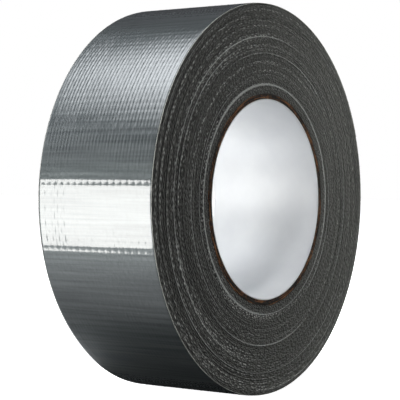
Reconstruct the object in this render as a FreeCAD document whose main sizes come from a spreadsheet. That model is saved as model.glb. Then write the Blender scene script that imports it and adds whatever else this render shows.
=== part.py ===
"""Duct tape roll: a spirally wound paperboard core that carries 50 m of cloth-backed tape.

Row frame in millimetres: origin on the core's axis at mid width, +Y along the axis, +Z up. The roll
stands on its tread. The web is wound on a two-centre spiral, so its outermost turn starts under the
free end and finishes one web thickness higher, with a real step at the cut edge.
"""
import FreeCAD, Part
import math
import os

import Sketcher
from FreeCAD import Rotation, Vector

PARTS_FOLDER = "parts"

# Driving dimensions, in millimetres and degrees. Each one is a cell of the spreadsheet.
SIZES = {
    "roll_diameter": 150.0,         # over the free end, where the roll is thickest
    "tape_width": 50.8,             # a two inch tape, with its core cut to the same width
    "core_bore_diameter": 76.2,     # the standard three inch core
    "liner_thickness": 0.4,
    "board_thickness": 0.38,
    "wrap_thickness": 0.2,
    "film_thickness": 0.09,
    "scrim_thickness": 0.07,
    "adhesive_thickness": 0.09,
    "peel_clearance": 0.03,         # between the free end and the turn under it
    "end_gap": 0.04,                # between the roll and the first strip of the free end
    "free_end_angle": 20.0,         # of the cut edge, from +X towards +Z
    "strip_angle": 11.5,            # of roll that each strip of the free end covers
}
BOARD_PLIES = 5
STRIP_NAMES = ("tip", "middle", "root")     # the free end, from its cut edge back to the roll

BORE_RADIUS = "Sizes.core_bore_diameter / 2"
CORE_RADIUS = (f"{BORE_RADIUS} + Sizes.liner_thickness"
               f" + {BOARD_PLIES} * Sizes.board_thickness + Sizes.wrap_thickness")
WEB = "(Sizes.film_thickness + Sizes.scrim_thickness + Sizes.adhesive_thickness)"
CENTRE_SHIFT = f"{WEB} / 4"                 # of each spiral centre from the core's axis
NEAR_RADIUS = f"(Sizes.roll_diameter / 2 - {WEB} / 4)"      # of the half turn that ends at the cut edge

doc = FreeCAD.newDocument("DuctTapeRoll")


def make_sheet():
    sheet = doc.addObject("Spreadsheet::Sheet", "Sizes")
    for row, (alias, value) in enumerate(SIZES.items(), start=1):
        sheet.set(f"A{row}", alias)
        sheet.set(f"B{row}", str(value))
        sheet.setAlias(f"B{row}", alias)
    doc.recompute()
    return sheet


def value_of(expression):
    """The number that a dimension's expression gives, for drawing a sketch where its constraints hold it."""
    found = SHEET.evalExpression(expression)
    return float(getattr(found, "Value", found))


def new_body(label):
    body = doc.addObject("PartDesign::Body", label)
    body.Label = label
    return body


def profile_sketch(body):
    """An empty sketch across the core's axis: its X is +X and its Y is +Z."""
    sketch = body.newObject("Sketcher::SketchObject", body.Name + "_profile")
    plane = [f for f in body.Origin.OriginFeatures if f.Role == "XZ_Plane"][0]
    sketch.AttachmentSupport = [(plane, "")]
    sketch.MapMode = "FlatFace"
    return sketch


def bind(sketch, constraint, expression):
    """Adds a dimension to the sketch and binds it to the spreadsheet."""
    number = sketch.addConstraint(constraint)
    sketch.setExpression(f"Constraints[{number}]", expression)


def pad_to_width(body, sketch):
    """Pads the profile to the tape's width, half of it each side of mid width."""
    pad = body.newObject("PartDesign::Pad", body.Name + "_pad")
    pad.Profile = sketch
    pad.Midplane = True
    pad.setExpression("Length", "Sizes.tape_width")
    sketch.Visibility = False
    return body


def turn_to_free_end(body):
    """Turns a spiral piece, drawn with the cut edge on the sketch's X axis, to where that edge lies."""
    body.Placement = FreeCAD.Placement(Vector(0, 0, 0), Rotation(Vector(0, -1, 0), 1))
    body.setExpression("Placement.Rotation.Angle", "Sizes.free_end_angle")


def ring(label, inner, outer):
    """A plain round ply about the core's axis."""
    body = new_body(label)
    sketch = profile_sketch(body)
    for radius in (inner, outer):
        circle = sketch.addGeometry(Part.Circle(Vector(0, 0, 0), Vector(0, 0, 1), value_of(radius)))
        sketch.addConstraint(Sketcher.Constraint("Coincident", circle, 3, -1, 1))
        bind(sketch, Sketcher.Constraint("Radius", circle, value_of(radius)), radius)
    return pad_to_width(body, sketch)


def draw_arc(sketch, centre, radius, start, stop):
    circle = Part.Circle(Vector(centre, 0, 0), Vector(0, 0, 1), radius)
    arc = sketch.addGeometry(Part.ArcOfCircle(circle, math.radians(start), math.radians(stop)))
    sketch.addConstraint(Sketcher.Constraint("PointOnObject", arc, 3, -1))
    return arc


def near_arc(sketch, depth, start, stop):
    """An arc of the half turn that ends at the cut edge, at a depth below the film's outer face."""
    shift, radius = value_of(CENTRE_SHIFT), f"{NEAR_RADIUS} - ({depth})"
    arc = draw_arc(sketch, shift, value_of(radius), start, stop)
    bind(sketch, Sketcher.Constraint("DistanceX", -1, 1, arc, 3, shift), CENTRE_SHIFT)
    bind(sketch, Sketcher.Constraint("Radius", arc, value_of(radius)), radius)
    return arc


def far_arc(sketch, near):
    """The half turn that carries a near arc on, from where it meets the X axis round to that axis again.

    The two arcs share a point on the line through both centres, so they meet with no kink.
    """
    shift = value_of(CENTRE_SHIFT)
    arc = draw_arc(sketch, -shift, sketch.Geometry[near].Radius - 2 * shift, 180, 360)
    bind(sketch, Sketcher.Constraint("DistanceX", arc, 3, -1, 1, shift), CENTRE_SHIFT)
    sketch.addConstraint(Sketcher.Constraint("PointOnObject", near, 2, -1))
    sketch.addConstraint(Sketcher.Constraint("Coincident", near, 2, arc, 1))
    sketch.addConstraint(Sketcher.Constraint("PointOnObject", arc, 2, -1))
    return arc


def add_end_line(sketch, first, first_end, second, second_end):
    """A straight cut through the web's thickness, joining the named ends of two arcs."""
    a = sketch.getPoint(first, first_end)
    b = sketch.getPoint(second, second_end)
    line = sketch.addGeometry(Part.LineSegment(a, b))
    sketch.addConstraint(Sketcher.Constraint("Coincident", line, 1, first, first_end))
    sketch.addConstraint(Sketcher.Constraint("Coincident", line, 2, second, second_end))
    return line


def set_arc_end(sketch, arc, end, expression):
    """Fixes an arc's end at an angle about the arc's own centre, with a construction radius."""
    centre = sketch.getPoint(arc, 3)
    spoke = sketch.addGeometry(Part.LineSegment(centre, sketch.getPoint(arc, end)), True)
    sketch.addConstraint(Sketcher.Constraint("Coincident", spoke, 1, arc, 3))
    sketch.addConstraint(Sketcher.Constraint("Coincident", spoke, 2, arc, end))
    angle = math.radians(value_of(expression))
    bind(sketch, Sketcher.Constraint("Angle", -1, 1, spoke, 1, angle), expression)


def strip_layer(label, top, bottom, start, stop):
    """One layer of one strip of the free end, between two depths below the film's outer face."""
    body = new_body(label)
    sketch = profile_sketch(body)
    arcs = [near_arc(sketch, depth, value_of(start), value_of(stop)) for depth in (top, bottom)]
    for arc in arcs:
        set_arc_end(sketch, arc, 1, start)
        set_arc_end(sketch, arc, 2, stop)
    add_end_line(sketch, arcs[0], 1, arcs[1], 1)
    add_end_line(sketch, arcs[0], 2, arcs[1], 2)
    turn_to_free_end(body)
    return pad_to_width(body, sketch)


def outer_turn_layer(label, top, bottom, start):
    """One layer of the outermost turn, from the root of the free end round to where it dives under it."""
    body = new_body(label)
    sketch = profile_sketch(body)
    near = [near_arc(sketch, depth, value_of(start), 180) for depth in (top, bottom)]
    far = [far_arc(sketch, arc) for arc in near]
    for arc in near:
        set_arc_end(sketch, arc, 1, start)
    add_end_line(sketch, near[0], 1, near[1], 1)
    add_end_line(sketch, far[0], 2, far[1], 2)
    turn_to_free_end(body)
    return pad_to_width(body, sketch)


def wound_turns(label):
    """The bonded turns under the outermost one, with the step that the web's thickness leaves."""
    body = new_body(label)
    sketch = profile_sketch(body)
    near = near_arc(sketch, WEB, 0, 180)
    far = far_arc(sketch, near)
    sketch.addConstraint(Sketcher.Constraint("PointOnObject", near, 1, -1))
    add_end_line(sketch, near, 1, far, 2)
    core = sketch.addGeometry(Part.Circle(Vector(0, 0, 0), Vector(0, 0, 1), value_of(CORE_RADIUS)))
    sketch.addConstraint(Sketcher.Constraint("Coincident", core, 3, -1, 1))
    bind(sketch, Sketcher.Constraint("Radius", core, value_of(CORE_RADIUS)), CORE_RADIUS)
    turn_to_free_end(body)
    return pad_to_width(body, sketch)


def core_plies():
    """The liner, the board plies and the outer wrap of the core, from the bore outwards."""
    plies = [("core_liner", "Sizes.liner_thickness")]
    plies += [(f"core_board_ply_{n}", "Sizes.board_thickness") for n in range(1, BOARD_PLIES + 1)]
    plies += [("core_outer_wrap", "Sizes.wrap_thickness")]
    made, inner = [], BORE_RADIUS
    for label, thickness in plies:
        outer = f"{inner} + {thickness}"
        made.append(ring(label, inner, outer))
        inner = outer
    return made


def web_layers():
    """The outermost turn and the strips of the free end, each in its three bonded layers."""
    film, scrim = "Sizes.film_thickness", "Sizes.film_thickness + Sizes.scrim_thickness"
    layers = (("film", "0", film), ("scrim", film, scrim), ("adhesive", scrim, WEB))
    free_end = f"{len(STRIP_NAMES)} * Sizes.strip_angle"
    gap_angle = "Sizes.end_gap / Sizes.roll_diameter * 360 / pi"
    made = []
    for layer, top, bottom in layers:
        made.append(outer_turn_layer(f"outer_turn_{layer}", top, bottom, f"{free_end} + {gap_angle}"))
        under = f"{WEB} - Sizes.peel_clearance" if layer == "adhesive" else bottom
        for number, strip in enumerate(STRIP_NAMES):
            start = f"{number} * Sizes.strip_angle"
            if number:
                start += f" + {gap_angle}"
            made.append(strip_layer(f"free_end_{strip}_{layer}", top, under, start,
                                    f"{number + 1} * Sizes.strip_angle"))
    return made


def check_and_export(pieces):
    doc.recompute()
    failed = [o.Label for o in doc.Objects if {"Invalid", "Error"} & set(o.State)]
    if failed:
        raise SystemExit(f"these objects failed to recompute: {failed}")
    for piece in pieces:
        if piece.Shape.isNull() or not piece.Shape.isValid() or len(piece.Shape.Solids) != 1:
            raise SystemExit(f"{piece.Label} isn't one valid solid")
    os.makedirs(PARTS_FOLDER, exist_ok=True)
    for piece in pieces:
        piece.Shape.exportStep(os.path.join(PARTS_FOLDER, piece.Label + ".step"))
        print(f"{piece.Label}: {piece.Shape.Volume:.1f} mm3")


def print_tape_length():
    """The length of web on the roll, from the area of its side, for the record's size."""
    side = math.pi * ((value_of("Sizes.roll_diameter") / 2) ** 2 - value_of(CORE_RADIUS) ** 2)
    print(f"web on the roll: {side / value_of(WEB) / 1000:.1f} m")


def print_peel_axes():
    """Where each strip of the free end hinges: on the film's outer face, at the strip's inner end."""
    turned = math.radians(value_of("Sizes.free_end_angle"))
    shift, radius = value_of(CENTRE_SHIFT), value_of(NEAR_RADIUS)
    for number, strip in enumerate(STRIP_NAMES, start=1):
        at = turned + math.radians(number * value_of("Sizes.strip_angle"))
        x = shift * math.cos(turned) + radius * math.cos(at)
        z = shift * math.sin(turned) + radius * math.sin(at)
        print(f"free_end_{strip} hinges at x {x:.4f}, z {z:.4f}")


SHEET = make_sheet()
check_and_export(core_plies() + [wound_turns("wound_turns")] + web_layers())
print_tape_length()
print_peel_axes()
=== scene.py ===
"""A 50 m roll of silver cloth-backed tape on its paperboard core, standing on its tread.

The roll's axis is Y, and +Z is up. Its pieces are in millimetres until a mesh is made; the floor, lights
and camera are in metres. Places along the web are angles in degrees about the roll, counted back from the
free end's cut edge.
"""
import math

import bmesh
import bpy
import numpy as np
from mathutils import Matrix, Vector


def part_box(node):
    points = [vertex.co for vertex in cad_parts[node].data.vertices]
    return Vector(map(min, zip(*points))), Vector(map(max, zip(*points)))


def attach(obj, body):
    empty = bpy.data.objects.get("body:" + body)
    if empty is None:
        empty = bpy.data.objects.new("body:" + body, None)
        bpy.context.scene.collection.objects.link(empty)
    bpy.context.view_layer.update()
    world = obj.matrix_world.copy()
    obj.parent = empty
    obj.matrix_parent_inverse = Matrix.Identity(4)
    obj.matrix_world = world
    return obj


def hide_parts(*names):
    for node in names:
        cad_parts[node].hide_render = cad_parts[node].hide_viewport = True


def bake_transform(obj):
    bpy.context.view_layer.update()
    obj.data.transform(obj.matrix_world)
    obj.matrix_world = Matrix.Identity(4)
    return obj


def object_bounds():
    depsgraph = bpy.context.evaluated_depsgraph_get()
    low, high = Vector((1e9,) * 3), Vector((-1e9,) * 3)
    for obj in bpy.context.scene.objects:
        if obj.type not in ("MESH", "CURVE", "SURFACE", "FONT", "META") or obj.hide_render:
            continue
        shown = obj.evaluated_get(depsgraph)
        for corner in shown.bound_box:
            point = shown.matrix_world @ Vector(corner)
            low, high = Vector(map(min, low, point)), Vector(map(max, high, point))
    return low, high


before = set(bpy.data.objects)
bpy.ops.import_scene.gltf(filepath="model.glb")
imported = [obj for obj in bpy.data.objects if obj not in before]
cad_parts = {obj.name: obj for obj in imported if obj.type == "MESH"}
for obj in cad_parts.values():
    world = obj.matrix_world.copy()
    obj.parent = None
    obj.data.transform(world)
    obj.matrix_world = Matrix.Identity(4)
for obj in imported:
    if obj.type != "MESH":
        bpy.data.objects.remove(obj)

CAD_BOX = [list(corner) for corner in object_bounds()]

# ---- Silver film of the outermost turn ----
# The tape's backing: aluminium-pigmented polyethylene, extruded and laminated hot onto the cotton gauze.
# It is drawn tight, so it spans the gauze's weft threads in flats, with a low ridge along each thread.
MM = 0.001
HALF_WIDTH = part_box("outer_turn_film")[1].y / MM
ROLL_RADIUS = 75.0              # at the cut edge, where the free end lies on the roll
WEB_THICKNESS = 0.25
FILM_THICKNESS = 0.09
CUT_EDGE_ANGLE = 20.0           # where the cut edge lies, from +X towards +Z
ROOT_ANGLE = 34.5               # where the free end leaves the roll
FULL_TURN = 360.0
WEFT_ROWS = 178                 # threads across the web in one turn of the roll, 2.65 mm apart
WARP_THREADS = 35               # threads along the web in its width, 1.45 mm apart
WEFT_STEP = FULL_TURN / WEFT_ROWS
WARP_PITCH = 2 * HALF_WIDTH / WARP_THREADS
MESH_STEPS = 4                  # mesh steps from one thread to the next, each way
SPAN_SAG = 0.0117               # how far a straight span between two weft threads falls inside the round
SLACK = 0.012                   # how far the film wanders in and out between tight places
CORNER = math.radians(48)       # edges sharper than this are shaded as corners

rng = np.random.default_rng(72)
WEFT_RIDGES = 0.015 + 0.012 * rng.random(WEFT_ROWS + 1)
WARP_RIDGES = 0.040 + 0.040 * rng.random(WARP_THREADS + 1)


def on_web(angle, across, depth):
    """World place on the web: two half turns, whose centres are a quarter of its thickness each side."""
    turn = np.radians(angle)
    near = turn < math.pi
    shift = WEB_THICKNESS / 4
    radius = ROLL_RADIUS - shift - np.where(near, 0, 2 * shift) - depth
    x = np.where(near, shift, -shift) + radius * np.cos(turn)
    z = radius * np.sin(turn)
    cos, sin = math.cos(math.radians(CUT_EDGE_ANGLE)), math.sin(math.radians(CUT_EDGE_ANGLE))
    return np.stack([cos * x - sin * z, across, sin * x + cos * z], -1)


def points(angle, across, depth):
    """Points from their angle, place across and depth or radius, each one a number or an array."""
    return np.stack(np.broadcast_arrays(angle, across, depth), -1)


def finished(name, places, faces, pattern):
    """An object in metres, its faces turned outwards, shaded smooth but for its corners.

    The attribute pattern keeps where each point was made, so that a finish stays with a piece that bends.
    """
    mesh = bpy.data.meshes.new(name)
    mesh.from_pydata((places * MM).tolist(), [], faces)
    work = bmesh.new()
    work.from_mesh(mesh)
    bmesh.ops.recalc_face_normals(work, faces=work.faces)
    work.to_mesh(mesh)
    work.free()
    mesh.shade_smooth()
    mesh.set_sharp_from_angle(angle=CORNER)
    kept = mesh.attributes.new("pattern", "FLOAT_VECTOR", "POINT")
    kept.data.foreach_set("vector", pattern.astype(np.float32).ravel())
    made = bpy.data.objects.new(name, mesh)
    bpy.context.collection.objects.link(made)
    return made


def swept(name, strands, place, ring=False):
    """A piece of strands, each a row of closed cross-sections. Ring joins a strand's last to its first."""
    faces, first = [], 0
    for sections in strands:
        count, loop = sections.shape[:2]
        grid = first + np.arange(count * loop).reshape(count, loop)
        here = grid if ring else grid[:-1]
        there = np.roll(grid, -1, 0) if ring else grid[1:]
        quads = np.stack([here, there, np.roll(there, -1, 1), np.roll(here, -1, 1)], -1)
        faces += quads.reshape(-1, 4).tolist()
        if not ring:
            faces += [grid[0].tolist(), grid[-1][::-1].tolist()]
        first += count * loop
    made = np.concatenate([sections.reshape(-1, 3) for sections in strands])
    pattern = made.copy()
    pattern[:, 0] *= math.radians(1) * ROLL_RADIUS
    return finished(name, place(*made.T), faces, pattern)


def weave_height(angle, across):
    """How far the gauze under it lifts a skin of the web, in millimetres."""
    row = angle / WEFT_STEP
    along = row % 1
    flat = SPAN_SAG * (1 - (2 * along - 1) ** 2)
    from_row = np.abs(row - np.round(row))
    weft = WEFT_RIDGES[np.round(row).astype(int)] * np.exp(-((from_row / 0.17) ** 2))
    thread = (across + HALF_WIDTH) / WARP_PITCH
    nearest = np.clip(np.floor(thread).astype(int), 0, WARP_THREADS)
    warp = WARP_RIDGES[nearest] * (0.5 - 0.5 * np.cos(2 * math.pi * thread))
    # a warp thread is higher where it passes over a weft thread than where it passes under
    crossing = 0.78 + 0.22 * np.cos(math.pi * (row + nearest))
    slack = SLACK * np.sin(np.radians(angle) * 23 + across * 0.11) * np.cos(across * 0.16 + 0.7)
    return weft + warp * crossing + slack - flat


def weave_angles(start, stop):
    """Places along the web from start to stop, on the weft threads and between them."""
    step = WEFT_STEP / MESH_STEPS
    inner = np.arange(math.floor(start / step) + 1, math.ceil(stop / step)) * step
    return np.concatenate([[start], inner, [stop]])


def film(name, start, stop):
    """A length of the film, with edges that the slitting knife has rolled down over the gauze."""
    # in from the slit side, and down from the film's face: over the rolled edge and back under it
    rounding = ((1.0, 0.0), (0.58, 0.02), (0.30, 0.062), (0.09, 0.135), (0.0, 0.21), (0.25, 0.15),
                (0.6, FILM_THICKNESS))
    inward, depth = np.array(rounding).T
    across = np.linspace(inward[0] - HALF_WIDTH, HALF_WIDTH - inward[0], WARP_THREADS * MESH_STEPS + 1)
    angle = weave_angles(start, stop)[:, None]
    top = points(angle, across, -weave_height(angle, across))
    right = points(angle, HALF_WIDTH - inward[1:], depth[1:])
    left = right[:, ::-1] * (1, -1, 1)
    return swept(name, [np.concatenate([top, right, left], 1)], on_web)


def linear(code):
    """A shader colour from an sRGB hex value."""
    parts = [int(code[i:i + 2], 16) / 255 for i in (1, 3, 5)]
    return tuple(c / 12.92 if c <= 0.04045 else ((c + 0.055) / 1.055) ** 2.4 for c in parts) + (1.0,)


def add(tree, kind, settings=(), **links):
    """Adds a shader node. Settings are its own properties or its inputs' values, by name or number.

    The setting stops gives a colour ramp its pairs of a place and an sRGB hex value.
    """
    made = tree.nodes.new(kind)
    for name, value in dict(settings).items():
        if name == "stops":
            for _ in value[2:]:
                made.color_ramp.elements.new(0.5)
            for element, (place, code) in zip(made.color_ramp.elements, value):
                element.position, element.color = place, linear(code)
        elif isinstance(name, str) and hasattr(made, name):
            setattr(made, name, value)
        else:
            made.inputs[name].default_value = value
    for name, source in links.items():
        socket = int(name[1:]) if name[1:].isdigit() else name.replace("_", " ")
        tree.links.new(source, made.inputs[socket])
    return made


def new_finish(name, **shader):
    """A material with the shader's plain values set. Returns it, its tree and its shader."""
    finish = bpy.data.materials.new(name)
    finish.use_nodes = True
    shader_node = finish.node_tree.nodes["Principled BSDF"]
    for socket, value in shader.items():
        shader_node.inputs[socket.replace("_", " ")].default_value = value
    return finish, finish.node_tree, shader_node


def silver_polyethylene():
    """Laminated film: a grey of fine aluminium flake under a clear glossy skin that mirrors the lights."""
    finish, tree, shader = new_finish(
        "hot_laminated_silver_polyethylene", Metallic=0.85, Roughness=0.48,
        Coat_Weight=1.0, Coat_Roughness=0.08, Coat_IOR=1.8)
    pattern = add(tree, "ShaderNodeAttribute", {"attribute_name": "pattern"}).outputs["Vector"]
    # each weft thread shows through the film as a faint darker line across the tape
    drawn = add(tree, "ShaderNodeVectorMath", {"operation": "MULTIPLY", 1: (1.0 / 1.3, 0.022, 0.0)},
                i0=pattern).outputs["Vector"]
    patches = add(tree, "ShaderNodeTexNoise", {"Scale": 1.0, "Detail": 2.0}, Vector=drawn)
    tint = add(tree, "ShaderNodeValToRGB", {"stops": ((0.3, "#4a5052"), (0.7, "#626869"))},
               Fac=patches.outputs["Fac"])
    tree.links.new(tint.outputs["Color"], shader.inputs["Base Color"])
    # the hot film sinks between fibres and leaves a peel about 1 mm across, finer along the tape
    stretched = add(tree, "ShaderNodeVectorMath", {"operation": "MULTIPLY", 1: (1.15, 0.75, 1.0)},
                    i0=pattern).outputs["Vector"]
    peel = add(tree, "ShaderNodeTexNoise", {"Scale": 1.0, "Detail": 2.0}, Vector=stretched)
    bump = add(tree, "ShaderNodeBump", {"Strength": 1.0, "Distance": 0.00006},
               Height=peel.outputs["Fac"])
    tree.links.new(bump.outputs["Normal"], shader.inputs["Normal"])
    return finish


SILVER_FILM = silver_polyethylene()


def fitted(piece, finish, slot, *nodes):
    """Gives a piece its finish, and hides the CAD nodes that it stands for. Its slot is not used."""
    piece.data.materials.append(finish)
    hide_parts(*nodes)
    return piece


outer_film = film("outer_film", ROOT_ANGLE, FULL_TURN)
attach(fitted(outer_film, SILVER_FILM, "silver_film", "outer_turn_film"), "roll")

# ---- Gauze of the outermost turn ----
# An open plain weave of bleached cotton, 35 threads wide and one weft thread each 2.65 mm. It gives the
# tape its strength, and its weft threads show at the slit sides as pale cut ends.
GAUZE_DEPTH = 0.125
THREAD_HALF = (0.21, 0.032)     # half a thread's width, and half its height where the lamination flattens it
THREAD_SIDES = 6
CRIMP = 0.012                   # how far a warp thread goes over and under the middle of the gauze


def gauze(name, start, stop, proud=0.0):
    """Warp threads from start to stop, proud degrees past the cut edge, with the weft threads across."""
    turn = np.linspace(0, 2 * math.pi, THREAD_SIDES, endpoint=False)
    wide, high = THREAD_HALF[0] * np.cos(turn), THREAD_HALF[1] * np.sin(turn)
    rows = np.arange(math.ceil(start / WEFT_STEP), math.floor(stop / WEFT_STEP) + 1)
    threads = []
    for number in range(WARP_THREADS):
        across = -HALF_WIDTH + (number + 0.5) * WARP_PITCH
        first = start - proud * rng.random()
        angle = np.concatenate([[first], rows * WEFT_STEP, [stop]])
        over = np.concatenate([[0], np.where((rows + number) % 2, CRIMP, -CRIMP), [0]])
        sections = points(angle[:, None], across + wide, GAUZE_DEPTH + over[:, None] + high)
        # a thread may start or stop on a weft row, where its first or last section would be there twice
        threads.append(sections[np.append(np.diff(angle) > 1e-3, True)])
    for row in rows:
        # the knife leaves each end of a weft thread standing out of the slit side by a little
        reach = HALF_WIDTH + 0.02 + 0.05 * rng.random(2)
        across = np.linspace(-reach[0], reach[1], 8)[:, None]
        around_roll = row * WEFT_STEP + wide / math.radians(ROLL_RADIUS)
        threads.append(points(around_roll, across, GAUZE_DEPTH + high))
    return swept(name, threads, on_web)


def bleached_cotton():
    """Spun cotton thread: off-white and dull, with fibres that run along it and scatter the light."""
    finish, tree, shader = new_finish("spun_bleached_cotton", Roughness=0.9, Sheen_Weight=0.25)
    pattern = add(tree, "ShaderNodeAttribute", {"attribute_name": "pattern"}).outputs["Vector"]
    fibres = add(tree, "ShaderNodeTexNoise", {"Scale": 9.0, "Detail": 4.0}, Vector=pattern)
    tint = add(tree, "ShaderNodeValToRGB", {"stops": ((0.3, "#8f8f87"), (0.7, "#c8c8c0"))},
               Fac=fibres.outputs["Fac"])
    tree.links.new(tint.outputs["Color"], shader.inputs["Base Color"])
    bump = add(tree, "ShaderNodeBump", {"Strength": 0.6, "Distance": 0.00003},
               Height=fibres.outputs["Fac"])
    tree.links.new(bump.outputs["Normal"], shader.inputs["Normal"])
    return finish


COTTON = bleached_cotton()
outer_gauze = gauze("outer_gauze", ROOT_ANGLE, FULL_TURN)
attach(fitted(outer_gauze, COTTON, "cotton_scrim", "outer_turn_scrim"), "roll")

# ---- Adhesive of the outermost turn ----
# Natural-rubber adhesive, filled and grey, spread over the gauze so that it fills between the threads.
# On the roll only its slit sides show, as a thin dark line under the film.
ADHESIVE_TOP = 0.092
WEFT_PITCH = 2.65
WAVE_LENGTH = 0.3142            # of one band of a wave texture at scale 1


def adhesive(name, start, stop, bottom):
    """A length of the adhesive, its open face raised a little along each thread that it covers."""
    across = np.linspace(-HALF_WIDTH + 0.1, HALF_WIDTH - 0.1, WARP_THREADS * MESH_STEPS + 1)
    angle = weave_angles(start, stop)[:, None]
    face = points(angle, across, np.minimum(bottom - 0.8 * weave_height(angle, across) + 0.004, bottom))
    side = HALF_WIDTH - 0.01 - 0.03 * rng.random((len(angle), 2))
    right = points(angle, side[:, :1], (bottom - 0.02, ADHESIVE_TOP))
    left = points(angle, -side[:, 1:], (ADHESIVE_TOP, bottom - 0.02))
    return swept(name, [np.concatenate([face, right, left], 1)], on_web)


def filled_rubber():
    """Tacky rubber adhesive: grey with its zinc and chalk fillers, and wet-looking where it is smooth."""
    finish, tree, shader = new_finish("calendered_filled_rubber", Roughness=0.34, IOR=1.52)
    pattern = add(tree, "ShaderNodeAttribute", {"attribute_name": "pattern"}).outputs["Vector"]
    cloud = add(tree, "ShaderNodeTexNoise", {"Scale": 0.35, "Detail": 5.0}, Vector=pattern)
    # the gauze shows through as paler lines at the spacing of its threads
    warps = add(tree, "ShaderNodeTexWave", {"bands_direction": "Y", "Scale": WAVE_LENGTH / WARP_PITCH,
                                            "Distortion": 0.6}, Vector=pattern)
    wefts = add(tree, "ShaderNodeTexWave", {"bands_direction": "X", "Scale": WAVE_LENGTH / WEFT_PITCH,
                                            "Distortion": 0.6}, Vector=pattern)
    threads = add(tree, "ShaderNodeMath", {"operation": "MAXIMUM"}, i0=warps.outputs["Fac"],
                  i1=wefts.outputs["Fac"])
    shown = add(tree, "ShaderNodeMath", {"operation": "MULTIPLY_ADD", 1: 0.5},
                i0=threads.outputs["Value"], i2=cloud.outputs["Fac"])
    tint = add(tree, "ShaderNodeValToRGB", {"stops": ((0.5, "#767974"), (0.8, "#868883"), (1.0, "#b4b6b0"))},
               Fac=shown.outputs["Value"])
    tree.links.new(tint.outputs["Color"], shader.inputs["Base Color"])
    grain = add(tree, "ShaderNodeTexNoise", {"Scale": 5.0, "Detail": 3.0}, Vector=pattern)
    bump = add(tree, "ShaderNodeBump", {"Strength": 0.5, "Distance": 0.00002},
               Height=grain.outputs["Fac"])
    tree.links.new(bump.outputs["Normal"], shader.inputs["Normal"])
    return finish


RUBBER = filled_rubber()
outer_adhesive = adhesive("outer_adhesive", ROOT_ANGLE, FULL_TURN, WEB_THICKNESS)
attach(fitted(outer_adhesive, RUBBER, "rubber_adhesive", "outer_turn_adhesive"), "roll")

# ---- Free end of the tape ----
# The last 45 mm of the web, in the same three layers. It lies on the roll until it is lifted and curls
# back on itself. The table lists two of the model's bodies for each length, but here each length is only
# built where it lies on the roll. It is cut straight across.
LENGTHS = (
    # name, bodies, where it starts and ends, where its bend starts and ends
    ("root", "roll", "free_end_root", ROOT_ANGLE, 28.75, 40.25, 28.75),
    ("middle", "free_end_root", "free_end_middle", 28.75, 17.25, 28.75, 17.25),
    ("tip", "free_end_middle", "free_end_tip", 17.25, 0.0, 17.25, 5.75),
)
FREE_ADHESIVE_BOTTOM = 0.22     # clear of the turn under it, so that it lifts
THREAD_FRAY = 0.5               # in degrees, how far threads stand out of the cut edge

for length, inner_body, outer_body, far, close, bend_start, bend_end in LENGTHS:
    layers = (
        (film(f"free_{length}_film", close, far), SILVER_FILM, "silver_film", "film"),
        (gauze(f"free_{length}_gauze", close, far, 0.0 if close else THREAD_FRAY), COTTON,
         "cotton_scrim", "scrim"),
        (adhesive(f"free_{length}_adhesive", close, far, FREE_ADHESIVE_BOTTOM), RUBBER,
         "rubber_adhesive", "adhesive"),
    )
    for piece, finish, slot, layer in layers:
        fitted(piece, finish, slot, f"free_end_{length}_{layer}")
        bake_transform(piece)

# ---- Wound turns, with their slit sides ----
# 136 more turns of the same web, bonded to each other. The log was slit to width with a round knife, so
# each side is a stack of cut edges: no two turns are quite level, and a few stand proud as pale rings,
# pale partly from their bared film and partly from a painted glint.
CORE_RADIUS = 40.6
SIDE_SEGMENTS = 288
RING_STEP = WEB_THICKNESS / 2
SIDE_LEVEL = HALF_WIDTH - 0.04  # of a turn that is neither proud nor sunk
RIM_LEVEL = HALF_WIDTH - 0.03   # where the side meets the core and the outermost turn
SIDE_MIDDLE = 58.0              # the radius half way out on the side
TURN_LEVELS = 160               # one for each turn, and some to spare
RING_HEIGHT = 0.26              # of the tallest proud ring
# the radius of each proud ring, and its height as a share of the tallest
PROUD_RINGS = ((43.9, 0.5), (46.8, 0.9), (48.7, 0.5), (51.8, 0.6), (53.1, 0.5), (56.0, 0.75), (57.6, 0.5),
               (59.8, 0.9), (62.2, 0.6), (64.5, 0.5), (66.6, 0.7), (68.9, 0.5), (70.9, 0.6), (73.2, 0.5))


def around(angle, across, radius):
    """World place from an angle about the roll's axis, measured from the cut edge."""
    turn = np.radians(angle + CUT_EDGE_ANGLE)
    return np.stack([radius * np.cos(turn), across, radius * np.sin(turn)], -1)


def side_relief(angle, radius, seed):
    """How far the slit side stands out, in millimetres, turn by turn along the spiral."""
    draw = np.random.default_rng(seed)
    turn = (ROLL_RADIUS - radius) / WEB_THICKNESS - angle / FULL_TURN
    single = draw.normal(0, 0.03, TURN_LEVELS)
    group = np.convolve(draw.normal(0, 0.09, TURN_LEVELS + 16), np.hanning(9) / 4, "same")[8:-8]
    count = np.clip(np.floor(turn + 1).astype(int), 0, TURN_LEVELS - 1)
    level = (single + group)[count]
    for number, (place, height) in enumerate(PROUD_RINGS):
        centre = (ROLL_RADIUS - place) / WEB_THICKNESS
        swing = np.clip(0.5 + 0.7 * np.sin(np.radians(angle) * (1 + number % 2) + place), 0, 1)
        level = level + RING_HEIGHT * height * swing * np.exp(-(((turn - centre) / 0.85) ** 2))
    wander = 0.03 * np.sin(np.radians(angle) * 3 + radius * 0.35) + 0.02 * np.sin(radius * 0.9)
    return level + wander


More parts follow.
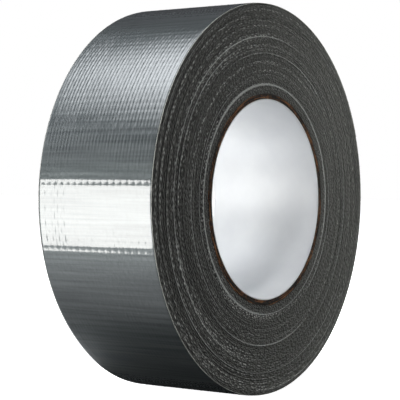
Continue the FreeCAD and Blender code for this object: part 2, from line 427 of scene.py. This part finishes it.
def slit_side(name, sign):
    """Half of the bonded turns: one slit side with its relief, closed at mid width."""
    angle = np.arange(SIDE_SEGMENTS) * FULL_TURN / SIDE_SEGMENTS
    rings = np.arange(CORE_RADIUS, ROLL_RADIUS - 3 * WEB_THICKNESS, RING_STEP)
    rim = np.linalg.norm(on_web(angle, 0 * angle, WEB_THICKNESS), axis=-1)
    radii = np.concatenate([np.broadcast_to(rings, (SIDE_SEGMENTS, len(rings))), rim[:, None]], 1)
    angles = np.broadcast_to(angle[:, None], radii.shape)
    across = np.minimum(SIDE_LEVEL + side_relief(angles, radii, 5 + sign), HALF_WIDTH + 0.3)
    across[:, 0] = across[:, -1] = RIM_LEVEL
    face = points(angles, across, radii)
    back = face[:, [-1, 0]] * (1, 0, 1)
    sections = np.concatenate([face, back], 1) * (1, sign, 1)
    piece = swept(name, [sections], around, ring=True)
    # a turn shows its silver face from 0.09 mm proud, all of it from 0.17 mm; the pale is also a painted
    # glint
    bared_and_glint = np.clip((sections[:, :, 1] * sign - HALF_WIDTH - 0.09) / 0.08, 0, 1)
    kept = piece.data.attributes.new("bared_film", "FLOAT", "POINT")
    kept.data.foreach_set("value", bared_and_glint.astype(np.float32).ravel())
    return piece


def bared_turn(name, start, stop):
    """The film of the turn below, which the free end uncovers. It is pressed flatter than the outer one."""
    across = np.linspace(-RIM_LEVEL, RIM_LEVEL, WARP_THREADS * MESH_STEPS + 1)
    angle = weave_angles(start, stop)[:, None]
    face = points(angle, across, WEB_THICKNESS - 0.6 * np.maximum(weave_height(angle, across), 0.008))
    back = face[:, [-1, 0]].copy()
    back[:, :, 2] = WEB_THICKNESS + FILM_THICKNESS
    return swept(name, [np.concatenate([face, back], 1)], on_web)


def drawn_round(tree, kind, across_mm, along_mm, shift, settings):
    """A texture drawn out round the roll, with a grain across_mm outwards and along_mm round it.

    Shift moves it to another part of the texture.
    """
    place = add(tree, "ShaderNodeTexCoord").outputs["Object"]
    flat = add(tree, "ShaderNodeVectorMath", {"operation": "MULTIPLY", 1: (1000, 0, 1000)}, i0=place)
    radius = add(tree, "ShaderNodeVectorMath", {"operation": "LENGTH"}, i0=flat.outputs["Vector"])
    outwards = add(tree, "ShaderNodeVectorMath", {"operation": "NORMALIZE"}, i0=flat.outputs["Vector"])
    wrapped = add(tree, "ShaderNodeVectorMath", {"operation": "SCALE", "Scale": SIDE_MIDDLE / along_mm},
                  i0=outwards.outputs["Vector"])
    level = add(tree, "ShaderNodeMath", {"operation": "MULTIPLY_ADD", 1: 1.0 / across_mm, 2: shift},
                i0=radius.outputs["Value"])
    lift = add(tree, "ShaderNodeCombineXYZ", Y=level.outputs["Value"])
    spot = add(tree, "ShaderNodeVectorMath", {"operation": "ADD"}, i0=wrapped.outputs["Vector"],
               i1=lift.outputs["Vector"])
    return add(tree, kind, {"Scale": 1.0, **settings}, Vector=spot.outputs["Vector"]).outputs[0]


def slit_edges():
    """Slit tape edges: grey-black film and rubber smeared by the knife, pale cut thread ends, and painted
    light.
    """
    finish, tree, shader = new_finish("knife_slit_film_gauze_and_rubber", Roughness=0.62, IOR=1.5)
    # single turns are 0.25 mm and don't show, so they are drawn as bands 0.85 mm wide with finer ones in
    # them, and the thread ends as flecks 1.5 mm long
    turns = drawn_round(tree, "ShaderNodeTexNoise", 0.85, 120.0, 2.0, {"Detail": 2.5})
    groups = drawn_round(tree, "ShaderNodeTexNoise", 2.6, 60.0, 11.0, {"Detail": 2.0})
    ends = drawn_round(tree, "ShaderNodeTexVoronoi", 0.62, 1.5, 23.0, {"Randomness": 0.9})
    mixed = add(tree, "ShaderNodeValToRGB", {"stops": ((0.36, "#161717"), (0.50, "#555655"),
                                                       (0.64, "#e2e3e0"))}, Fac=turns)
    shade = add(tree, "ShaderNodeValToRGB", {"stops": ((0.35, "#a8a8a8"), (0.65, "#ffffff"))}, Fac=groups)
    mixed = add(tree, "ShaderNodeMix", {"data_type": "RGBA", "blend_type": "MULTIPLY", 0: 1.0},
                i6=mixed.outputs["Color"], i7=shade.outputs["Color"])
    fleck = add(tree, "ShaderNodeValToRGB", {"stops": ((0.15, "#ffffff"), (0.38, "#8c8c8c"),
                                                       (0.60, "#080808"))}, Fac=ends)
    mixed = add(tree, "ShaderNodeMix", {"data_type": "RGBA", "blend_type": "MULTIPLY", 0: 1.0},
                i6=mixed.outputs[2], i7=fleck.outputs["Color"])
    # painted light: the +X half is blended towards a plain paler grey, so its rings and thread ends show
    # less
    place = add(tree, "ShaderNodeTexCoord").outputs["Object"]
    half = add(tree, "ShaderNodeSeparateXYZ", Vector=place).outputs["X"]
    painted_flat_light = add(tree, "ShaderNodeMapRange", {"From Min": -0.03, "From Max": 0.05, "To Max": 0.52},
                  Value=half)
    mixed = add(tree, "ShaderNodeMix", {"data_type": "RGBA", 7: linear("#5c5d59")},
                i0=painted_flat_light.outputs["Result"], i6=mixed.outputs[2])
    # a turn that stands proud is painted pale: partly the bared silver face of its film, partly a painted
    # glint
    bared_and_glint = add(tree, "ShaderNodeAttribute", {"attribute_name": "bared_film"}).outputs["Fac"]
    silver = add(tree, "ShaderNodeMix", {"data_type": "RGBA", 7: linear("#aeb0af")}, i0=bared_and_glint,
                 i6=mixed.outputs[2])
    tree.links.new(silver.outputs[2], shader.inputs["Base Color"])
    rough = add(tree, "ShaderNodeMath", {"operation": "MULTIPLY_ADD", 1: -1.0}, i0=ends, i2=turns)
    bump = add(tree, "ShaderNodeBump", {"Strength": 1.0, "Distance": 0.0004},
               Height=rough.outputs["Value"])
    tree.links.new(bump.outputs["Normal"], shader.inputs["Normal"])
    return finish


SLIT_EDGES = slit_edges()
for side, sign in (("front", -1), ("back", 1)):
    piece = slit_side(f"wound_turns_{side}", sign)
    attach(fitted(piece, SLIT_EDGES, "cut_tape_edges", "wound_turns"), "roll")
next_film = bared_turn("next_turn_film", 0.0, ROOT_ANGLE)
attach(fitted(next_film, SILVER_FILM, "silver_film", "wound_turns"), "roll")

# ---- Paperboard core ----
# Five plies of brown kraft board and a thin outer wrap, each a strip wound in a helix and glued, with
# its edges butted in a slanting seam. A saw cut the tube to length, so the ply ends are brown and furry.
SEAM_LEAD = 124.0               # mm along the core for a whole turn of a strip 110 mm wide
SEAM_HALF_WIDTH = 0.2
TUBE_SEGMENTS = 240
TUBE_STEPS = 44                 # along a tube, close enough for its slanting faces to stay flat
BOARD_THICKNESS = 0.38
WRAP_THICKNESS = 0.2


def paper_tube(name, inner, outer, seam_angle, raggedness, seam_depth, seed):
    """One ply. Its mesh follows the helix, so that the butt seam is a real groove along it."""
    draw = np.random.default_rng(seed)
    fibre = np.convolve(draw.normal(0, 1, TUBE_SEGMENTS + 4), (0.25, 0.5, 1, 0.5, 0.25), "valid")
    length = np.linspace(-HALF_WIDTH, HALF_WIDTH, TUBE_STEPS)
    bevel = 0.12 * (outer - inner)
    seam = SEAM_HALF_WIDTH / math.radians(inner)
    angle = np.concatenate([[-seam, 0.0, seam], np.linspace(0, FULL_TURN, TUBE_SEGMENTS - 2)[2:-2]])
    fibre = fibre[:len(angle)] * raggedness
    groove = np.zeros(len(angle))
    groove[1] = seam_depth
    loop = [(y, inner, 1, 0) for y in length]
    loop += [(HALF_WIDTH, inner + bevel, 0, 1), (HALF_WIDTH, outer - bevel, 0, 1)]
    loop += [(y, outer, 0, 0) for y in length[::-1]]
    loop += [(-HALF_WIDTH, outer - bevel, 0, -1), (-HALF_WIDTH, inner + bevel, 0, -1)]
    # each point of the cross-section: its place along the tube, its radius, and whether it is in the
    # bore, where the seam is, and which sawn end it is on
    place, radius, in_bore, sawn_end = np.array(loop).T
    angles = angle[:, None] + seam_angle + place * FULL_TURN / SEAM_LEAD
    across = place * (1 - bevel / HALF_WIDTH) + sawn_end * (bevel + fibre[:, None])
    sections = points(angles, across, radius + in_bore * groove[:, None])
    return swept(name, [sections], around, ring=True)


def kraft_board():
    """Unbleached kraft board: warm brown, its cut plies showing as darker and paler lines of fibre."""
    finish, tree, shader = new_finish("saw_cut_kraft_board", Roughness=0.88, IOR=1.47)
    place = add(tree, "ShaderNodeTexCoord").outputs["Object"]
    # tufts of fibre 1.25 mm across with single fibres in them, and plies drawn as lines 0.42 mm apart
    fibres = add(tree, "ShaderNodeTexNoise", {"Scale": 800.0, "Detail": 4.0}, Vector=place).outputs["Fac"]
    lines = drawn_round(tree, "ShaderNodeTexNoise", 0.42, 14.0, 5.0, {"Detail": 2.0})
    both = add(tree, "ShaderNodeMath", {"operation": "MULTIPLY_ADD", 1: 0.35}, i0=fibres, i2=lines)
    tint = add(tree, "ShaderNodeValToRGB", {"stops": ((0.58, "#110a05"), (0.70, "#25160b"),
                                                      (0.82, "#8c572c"))}, Fac=both.outputs["Value"])
    tree.links.new(tint.outputs["Color"], shader.inputs["Base Color"])
    bump = add(tree, "ShaderNodeBump", {"Strength": 1.0, "Distance": 0.00008}, Height=fibres)
    tree.links.new(bump.outputs["Normal"], shader.inputs["Normal"])
    return finish


KRAFT = kraft_board()
plies = [f"core_board_ply_{number}" for number in range(1, 6)] + ["core_outer_wrap"]
for number, ply in enumerate(plies):
    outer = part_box(ply)[1].x / MM
    inner = CORE_RADIUS - WRAP_THICKNESS if ply == "core_outer_wrap" else outer - BOARD_THICKNESS
    piece = paper_tube(ply.replace("core_", "kraft_"), inner, outer, 160 + 73 * number, 0.03, 0.05,
                       40 + number)
    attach(fitted(piece, KRAFT, "kraft_paperboard", ply), "roll")

# ---- White liner of the bore ----
# A ply of board faced with clay-coated white paper, smooth and a little glossy inside the bore. Its own
# seam runs round in the same helix as the plies outside it.
LINER_SEAM_ANGLE = 165.0
LINER_THICKNESS = 0.4
LINER_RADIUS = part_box("core_liner")[1].x / MM


def coated_paper():
    """Clay-coated paper: a bright, faintly cool white with a soft satin sheen and very slight cockle."""
    finish, tree, shader = new_finish("clay_coated_white_paper", Roughness=0.38, IOR=1.5)
    place = add(tree, "ShaderNodeTexCoord").outputs["Object"]
    # cockles 11 mm across, where the glue under the paper dried unevenly
    cockle = add(tree, "ShaderNodeTexNoise", {"Scale": 90.0, "Detail": 3.0}, Vector=place)
    tint = add(tree, "ShaderNodeValToRGB", {"stops": ((0.3, "#d6d8db"), (0.7, "#dddfe1"))},
               Fac=cockle.outputs["Fac"])
    tree.links.new(tint.outputs["Color"], shader.inputs["Base Color"])
    bump = add(tree, "ShaderNodeBump", {"Strength": 0.4, "Distance": 0.0001},
               Height=cockle.outputs["Fac"])
    tree.links.new(bump.outputs["Normal"], shader.inputs["Normal"])
    return finish


liner = paper_tube("white_liner", LINER_RADIUS - LINER_THICKNESS, LINER_RADIUS, LINER_SEAM_ANGLE, 0.015,
                   0.07, 61)
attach(fitted(liner, coated_paper(), "white_liner_paper", "core_liner"), "roll")

# ---- Floor ----
# A plain pale sheet that the roll stands on. It is lit so that it is nearly white, and it is left out of
# reflections, so that the film mirrors only the lights.
FLOOR_SIZE = 6.0
FLOOR_GAP = 0.00005


def pale_floor():
    """Matt white sheet, lifted almost to white by a light of its own."""
    return new_finish("matt_white_floor", Base_Color=linear("#f4f4f4"), Roughness=0.9,
                      Emission_Color=linear("#ffffff"), Emission_Strength=0.97)[0]


floor_mesh = bpy.data.meshes.new("floor")
corner = FLOOR_SIZE / 2
floor_mesh.from_pydata([(-corner, -corner, 0), (corner, -corner, 0), (corner, corner, 0),
                        (-corner, corner, 0)], [], [(0, 1, 2, 3)])
floor = bpy.data.objects.new("floor", floor_mesh)
floor.location.z = CAD_BOX[0][2] - FLOOR_GAP
floor_mesh.materials.append(pale_floor())
bpy.context.collection.objects.link(floor)
floor.visible_glossy = floor.visible_diffuse = floor.visible_shadow = False

# ---- Studio lights ----
# A square panel behind and to the left, which the film mirrors as a bright band. Three large soft ones
# fill the tread's greys, a small one lights the bore through its back opening, two rake the rims, and the
# last three light the slit side evenly.


def light_panel(name, direction, distance, size, strength, colour, soft=0.0, upright=(0, 0, 1)):
    """A glowing sheet that faces the roll, its second size upright.

    Soft is the share of it that fades out towards its edges.
    """
    finish = bpy.data.materials.new(name)
    finish.use_nodes = True
    tree = finish.node_tree
    tree.nodes.clear()
    glow = add(tree, "ShaderNodeEmission", {"Color": linear(colour), "Strength": strength})
    if soft:
        place = add(tree, "ShaderNodeTexCoord").outputs["Object"]
        reach = add(tree, "ShaderNodeVectorMath", {"operation": "LENGTH"}, i0=place).outputs["Value"]
        fade = add(tree, "ShaderNodeMapRange", {"interpolation_type": "SMOOTHSTEP", "From Min": 1 - soft,
                                                "From Max": 1.0, "To Min": strength, "To Max": 0.0},
                   Value=reach)
        tree.links.new(fade.outputs["Result"], glow.inputs["Strength"])
    add(tree, "ShaderNodeOutputMaterial", Surface=glow.outputs["Emission"])
    mesh = bpy.data.meshes.new(name)
    mesh.from_pydata([(-1, -1, 0), (1, -1, 0), (1, 1, 0), (-1, 1, 0)], [], [(0, 1, 2, 3)])
    mesh.materials.append(finish)
    panel = bpy.data.objects.new(name, mesh)
    bpy.context.collection.objects.link(panel)
    aim = Vector(direction).normalized()
    panel.location = aim * distance
    rise = (Vector(upright) - aim * aim.dot(Vector(upright))).normalized()
    panel.rotation_euler = Matrix((rise.cross(aim), rise, aim)).transposed().to_euler()
    panel.scale = (size[0] / 2, size[1] / 2, 1)
    panel.visible_camera = False


light_panel("band_panel", (-0.848, 0.53, -0.126), 1.6, (0.92, 0.865), 7.8, "#fffefb")
light_panel("overhead_panel", (-0.27, 0.48, 0.845), 1.6, (1.0, 2.6), 5.6, "#f8fbff", 1.0,
            upright=(0.95, 0.0, 0.20))
light_panel("sky_panel", (-0.22, 0.62, 0.66), 2.6, (4.8, 5.6), 1.25, "#f6faff", 0.8)
light_panel("bounce_panel", (-0.635, 0.64, -0.436), 2.6, (4.2, 4.5), 0.70, "#f4f6fa", 1.0)
light_panel("bore_panel", (-0.14, 0.80, -0.58), 0.13, (0.10, 0.10), 7.2, "#fbfdff", 0.5)
light_panel("rim_panel", (-0.95, -0.25, 0.25), 1.5, (0.5, 2.6), 1.2, "#ffffff", 0.6)
light_panel("top_rim_panel", (-0.25, -0.18, 0.95), 1.5, (0.3, 2.8), 11.0, "#ffffff", 0.6,
            upright=(1.0, 0.0, 0.25))
light_panel("side_panel", (0.85, -0.52, 0.10), 0.6, (0.5, 0.5), 4.1, "#fdfff7", 0.6)
light_panel("low_panel", (0.0, -0.60, -0.80), 1.5, (1.2, 1.2), 3.8, "#fbfcff", 1.0)
light_panel("fill_panel", (0.95, -0.05, 0.30), 2.2, (1.6, 2.2), 2.1, "#f8faff", 1.0)

# the room behind is white to the camera, and gives the roll only a dim sky that fades out below it
world = bpy.data.worlds.new("studio")
bpy.context.scene.world = world
world.use_nodes = True
world.node_tree.nodes.clear()
seen = add(world.node_tree, "ShaderNodeLightPath")
white = add(world.node_tree, "ShaderNodeBackground", {"Color": linear("#ffffff"), "Strength": 1.0})
way = add(world.node_tree, "ShaderNodeTexCoord").outputs["Generated"]
height = add(world.node_tree, "ShaderNodeSeparateXYZ", Vector=way).outputs["Z"]
rise = add(world.node_tree, "ShaderNodeMapRange", {"From Min": -0.35, "From Max": 0.6, "To Max": 0.09},
           Value=height)
dim = add(world.node_tree, "ShaderNodeBackground", {"Color": linear("#f4f6ff")},
          Strength=rise.outputs["Result"])
mixed = add(world.node_tree, "ShaderNodeMixShader", Fac=seen.outputs["Is Camera Ray"],
            i1=dim.outputs["Background"], i2=white.outputs["Background"])
add(world.node_tree, "ShaderNodeOutputWorld", Surface=mixed.outputs["Shader"])

# ---- Camera ----
# Low and to the left of the slit side, with a long lens, so that tread and side both show.
AZIMUTH, ELEVATION = math.radians(-55.27), math.radians(1.226)
DISTANCE = 0.5509
AIM_LEFT, AIM_DOWN = 0.005252, 0.000473     # of the roll's middle
right = Vector((math.cos(AZIMUTH), math.sin(AZIMUTH), 0))
back = Vector((math.sin(AZIMUTH) * math.cos(ELEVATION), -math.cos(AZIMUTH) * math.cos(ELEVATION),
               math.sin(ELEVATION)))
up = back.cross(right)
camera_data = bpy.data.cameras.new("camera")
camera_data.sensor_width = 36.0
camera_data.lens = 125.96
camera_data.clip_end = 20.0
camera = bpy.data.objects.new("camera", camera_data)
bpy.context.collection.objects.link(camera)
camera.location = back * DISTANCE - right * AIM_LEFT - up * AIM_DOWN
camera.rotation_euler = back.to_track_quat("Z", "Y").to_euler()
bpy.context.scene.camera = camera
bpy.context.scene.view_settings.view_transform = "Standard"
